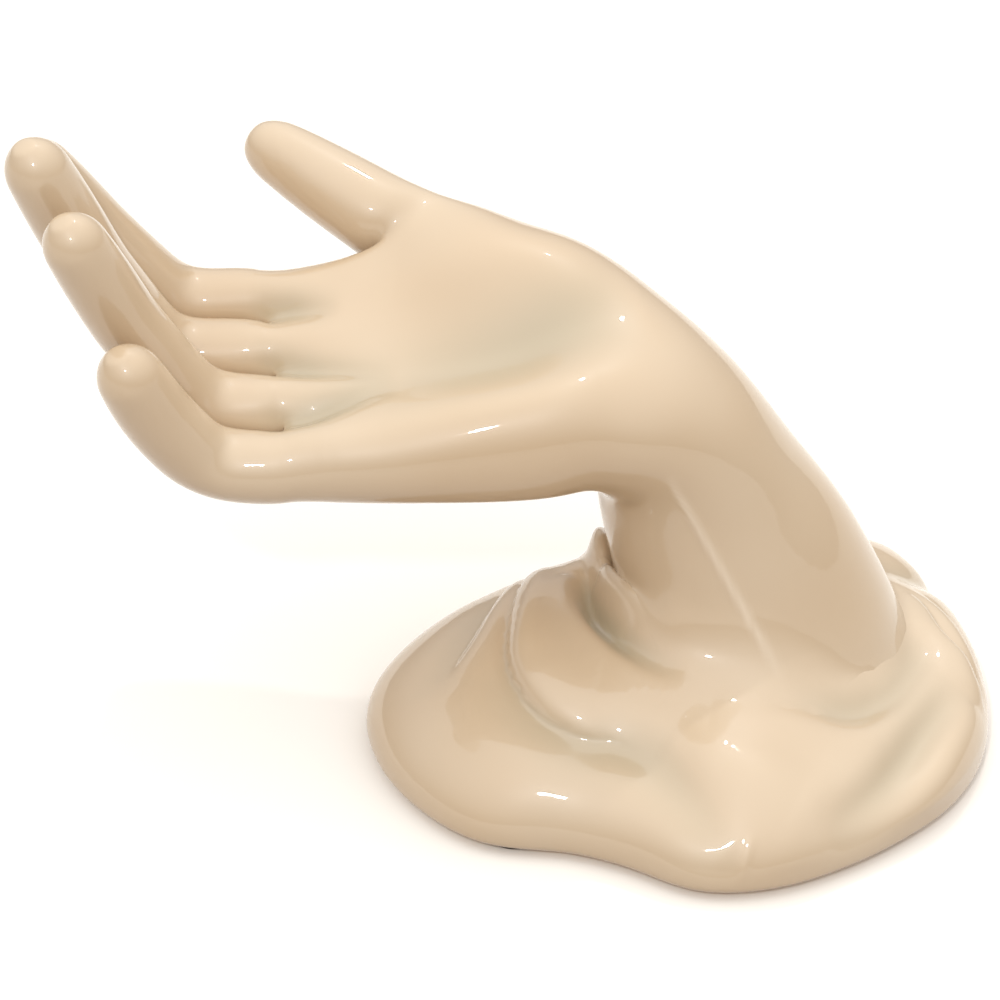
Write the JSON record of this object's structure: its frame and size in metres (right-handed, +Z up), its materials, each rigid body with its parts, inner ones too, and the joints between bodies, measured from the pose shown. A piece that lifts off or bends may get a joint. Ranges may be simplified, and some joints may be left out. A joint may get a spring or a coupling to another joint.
{
  "type": "ceramic hand sculpture",
  "caption": "Life-size glazed ceramic hand, palm up with fingers curled like a tray, its forearm rising from a base modelled as draped cloth.",
  "frame": {"origin": "middle of the whole piece's bounding box, on the surface that it stands on", "axes": "+Z up; +X from the fingertips towards the back of the forearm, along the longest extent; +Y away from the viewer, towards the thumb"},
  "size_m": [0.271, 0.1593, 0.1875],
  "materials": {
    "cream_glaze": "high gloss, warm cream",
    "felt": "matt, dark brown"
  },
  "bodies": {
    "root": {"drapery_base": "cream_glaze", "forearm": "cream_glaze", "palm": "cream_glaze", "thumb": "cream_glaze", "index_finger": "cream_glaze", "middle_finger": "cream_glaze", "ring_finger": "cream_glaze", "little_finger": "cream_glaze", "felt_pad_back_right": "felt", "felt_pad_back_left": "felt", "felt_pad_front_left": "felt", "felt_pad_front_right": "felt"}
  },
  "joints": []
}
